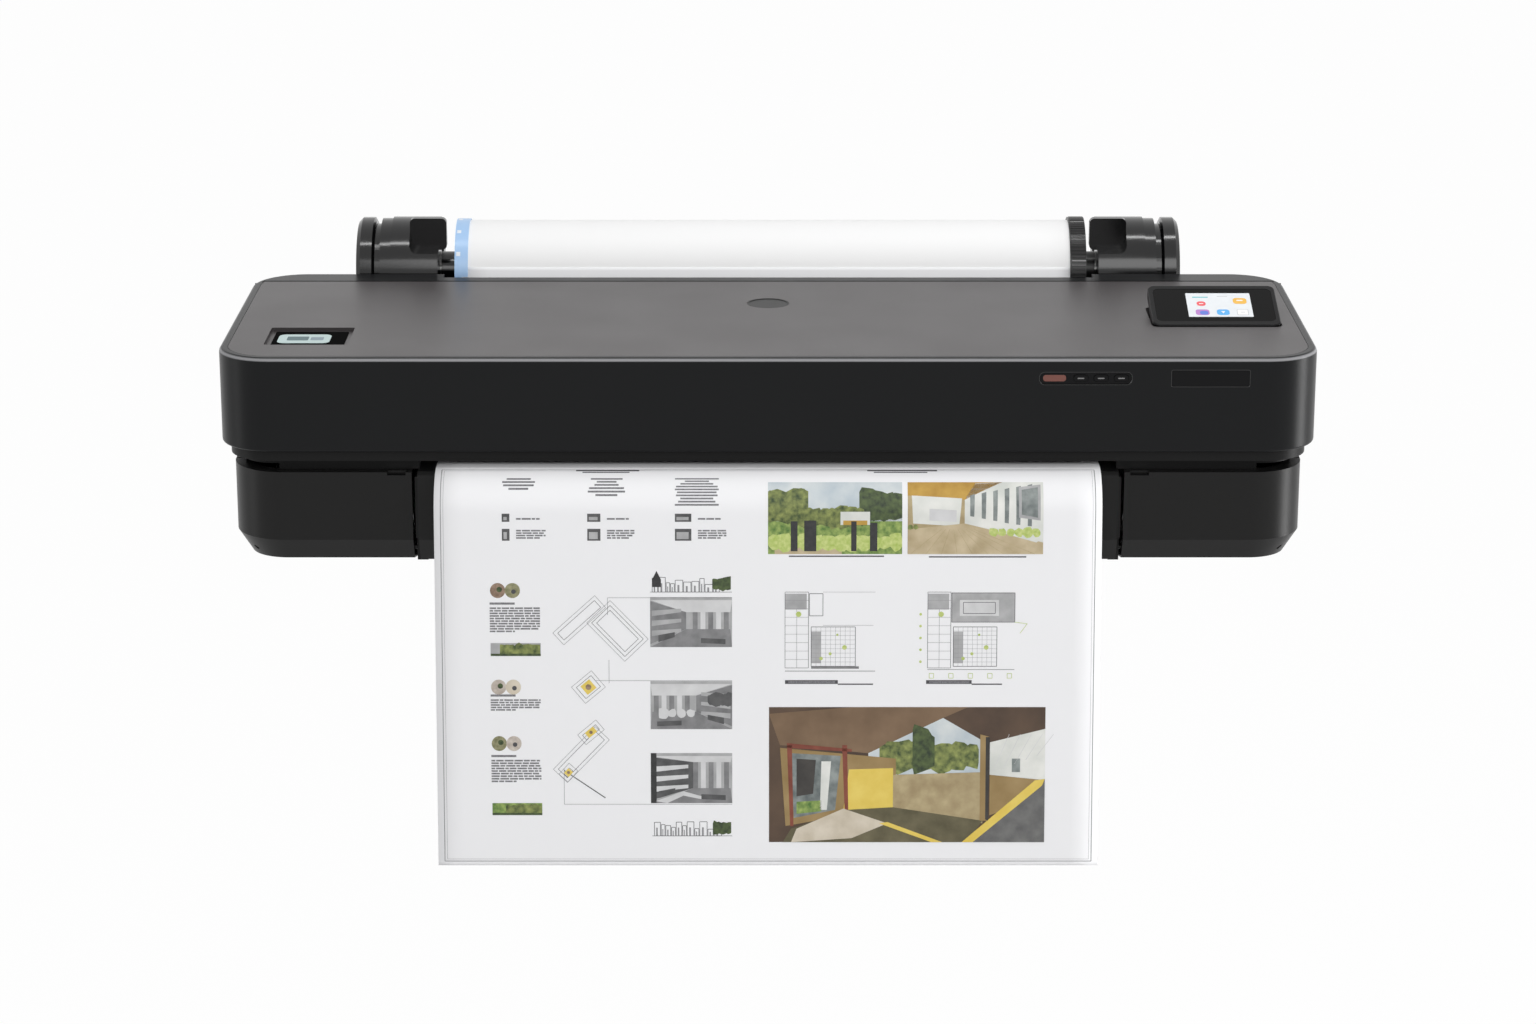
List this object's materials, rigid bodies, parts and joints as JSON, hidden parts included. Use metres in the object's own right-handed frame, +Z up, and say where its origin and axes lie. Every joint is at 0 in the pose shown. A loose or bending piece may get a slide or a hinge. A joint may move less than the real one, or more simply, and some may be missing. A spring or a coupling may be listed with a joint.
{
  "type": "large format plotter",
  "caption": "Desktop large format plotter with a roll holder behind, a hinged lid with tilting display, tilting corner doors and a printed sheet hanging over its front.",
  "frame": {"origin": "centre of the four stand bolts, on the underside in the plane of the feet", "axes": "+X to the user's right along the print width, +Y to the back, +Z up"},
  "size_m": [1.013, 0.5256, 0.5148],
  "materials": {
    "case_plastic": "moulded, fine texture, charcoal",
    "cover_plastic": "moulded, fine texture, charcoal",
    "lid_plastic": "moulded, fine texture, warm grey",
    "holder_gloss": "glossy black",
    "trim_black": "satin black",
    "rubber_black": "matt rubber",
    "brass_insert": "turned brass",
    "steel": "bright steel",
    "aluminium_track": "folded aluminium",
    "paper_white": "coated white paper",
    "core_board": "wound grey board",
    "hub_blue": "light blue moulding",
    "screen_glass": "black touch glass",
    "label_green": "printed label",
    "light_red": "red light bar",
    "inner_plastic": "dark grey moulding",
    "roller_rubber": "ground rubber",
    "motor_can": "painted steel can",
    "circuit_board": "green board",
    "ink_shell": "black moulding"
  },
  "bodies": {
    "root": {"lower_case": "case_plastic", "rubber_feet": "rubber_black", "stand_inserts": "brass_insert", "output_panel": "case_plastic", "hinge_pins": "steel", "middle_frame": "cover_plastic", "upper_cover": "cover_plastic", "rear_panel": "cover_plastic", "nameplate_blank": "trim_black", "button_strip": "trim_black", "status_light": "light_red", "switch_board": "circuit_board", "left_roll_support": "holder_gloss", "right_roll_support": "holder_gloss", "paper_web": "paper_white", "chassis_tray": "steel", "side_plates": "steel", "platen": "inner_plastic", "roller_mounts": "inner_plastic", "feed_motor": "motor_can", "carriage_beam": "aluminium_track", "guide_rod": "steel", "encoder_strip": "inner_plastic", "carriage_motor": "motor_can", "drive_belt": "rubber_black", "service_station": "inner_plastic", "ink_bay": "inner_plastic", "ink_cartridges": "ink_shell", "power_supply": "aluminium_track", "main_board": "circuit_board", "power_inlet": "inner_plastic", "data_ports": "inner_plastic"},
    "lid": {"lid": "lid_plastic", "status_plate": "trim_black", "status_label": "label_green", "badge_blank": "lid_plastic"},
    "display": {"display_housing": "trim_black", "display_glass": "screen_glass"},
    "left_door": {"left_door": "case_plastic"},
    "right_door": {"right_door": "case_plastic"},
    "spindle_carrier": {"spindle_bushes": "inner_plastic"},
    "roll": {"spindle_rod": "steel", "end_knobs": "holder_gloss", "blue_hub": "hub_blue", "black_hub": "holder_gloss", "core_tube": "core_board", "paper_roll": "paper_white"},
    "feed_roller": {"feed_roller": "roller_rubber", "feed_gear": "inner_plastic"},
    "exit_roller": {"exit_roller": "roller_rubber"},
    "pinch_rollers": {"pinch_rollers": "roller_rubber"},
    "star_wheels": {"star_wheels": "inner_plastic"},
    "motor_pinion": {"motor_pinion": "steel"},
    "carriage": {"carriage": "inner_plastic", "printheads": "ink_shell"},
    "drive_pulley": {"drive_pulley": "inner_plastic"},
    "idler_pulley": {"idler_pulley": "inner_plastic"},
    "button_1": {"front_button_1": "trim_black"},
    "button_2": {"front_button_2": "trim_black"},
    "button_3": {"front_button_3": "trim_black"}
  },
  "joints": [
    {"name": "lid_hinge", "type": "hinge", "parent": "root", "child": "lid", "pos_m": [0, 0.077, 0.234], "axis": [-1, 0, 0], "range_deg": [0, 75]},
    {"name": "display_tilt", "type": "hinge", "parent": "lid", "child": "display", "pos_m": [0.423, -0.101, 0.235], "axis": [1, 0, 0], "range_deg": [-17, 25]},
    {"name": "button_1_press", "type": "slide", "parent": "root", "child": "button_1", "axis": [0, 1, 0], "range_m": [0, 0.001], "stiffness_N_per_m": 400},
    {"name": "button_2_press", "type": "slide", "parent": "root", "child": "button_2", "axis": [0, 1, 0], "range_m": [0, 0.001], "stiffness_N_per_m": 400},
    {"name": "button_3_press", "type": "slide", "parent": "root", "child": "button_3", "axis": [0, 1, 0], "range_m": [0, 0.001], "stiffness_N_per_m": 400},
    {"name": "left_door_hinge", "type": "hinge", "parent": "root", "child": "left_door", "pos_m": [-0.41, -0.202, 0.049], "axis": [1, 0, 0], "range_deg": [0, 80]},
    {"name": "right_door_hinge", "type": "hinge", "parent": "root", "child": "right_door", "pos_m": [0.41, -0.202, 0.049], "axis": [1, 0, 0], "range_deg": [0, 80]},
    {"name": "spindle_lift", "type": "slide", "parent": "root", "child": "spindle_carrier", "axis": [0, 0.766, 0.6428], "range_m": [0, 0.12]},
    {"name": "roll_spin", "type": "hinge", "parent": "spindle_carrier", "child": "roll", "pos_m": [0, 0.167, 0.229], "axis": [1, 0, 0], "continuous": true},
    {"name": "feed_spin", "type": "hinge", "parent": "root", "child": "feed_roller", "pos_m": [0, -0.05, 0.12055], "axis": [1, 0, 0], "continuous": true},
    {"name": "exit_spin", "type": "hinge", "parent": "root", "child": "exit_roller", "pos_m": [0, -0.158, 0.12455], "axis": [1, 0, 0], "continuous": true},
    {"name": "pinch_spin", "type": "hinge", "parent": "root", "child": "pinch_rollers", "pos_m": [0, -0.05, 0.13945], "axis": [1, 0, 0], "continuous": true},
    {"name": "star_spin", "type": "hinge", "parent": "root", "child": "star_wheels", "pos_m": [0, -0.158, 0.13845], "axis": [1, 0, 0], "continuous": true},
    {"name": "motor_spin", "type": "hinge", "parent": "root", "child": "motor_pinion", "pos_m": [0, -0.05, 0.08855], "axis": [1, 0, 0], "continuous": true},
    {"name": "carriage_slide", "type": "slide", "parent": "root", "child": "carriage", "axis": [1, 0, 0], "range_m": [-0.78, 0]},
    {"name": "drive_pulley_spin", "type": "hinge", "parent": "root", "child": "drive_pulley", "pos_m": [0.462, -0.014, 0.2], "axis": [0, 0, 1], "continuous": true},
    {"name": "idler_pulley_spin", "type": "hinge", "parent": "root", "child": "idler_pulley", "pos_m": [-0.462, -0.014, 0.2], "axis": [0, 0, 1], "continuous": true}
  ],
  "couplings": [
    {"joint": "roll_spin", "follows": "feed_spin", "ratio": 0.24169},
    {"joint": "exit_spin", "follows": "feed_spin", "ratio": 1.5},
    {"joint": "pinch_spin", "follows": "feed_spin", "ratio": -2},
    {"joint": "star_spin", "follows": "feed_spin", "ratio": -2.4},
    {"joint": "motor_spin", "follows": "feed_spin", "ratio": -3},
    {"joint": "drive_pulley_spin", "follows": "carriage_slide", "rad_per_m": 90.909},
    {"joint": "idler_pulley_spin", "follows": "carriage_slide", "rad_per_m": 90.909}
  ]
}
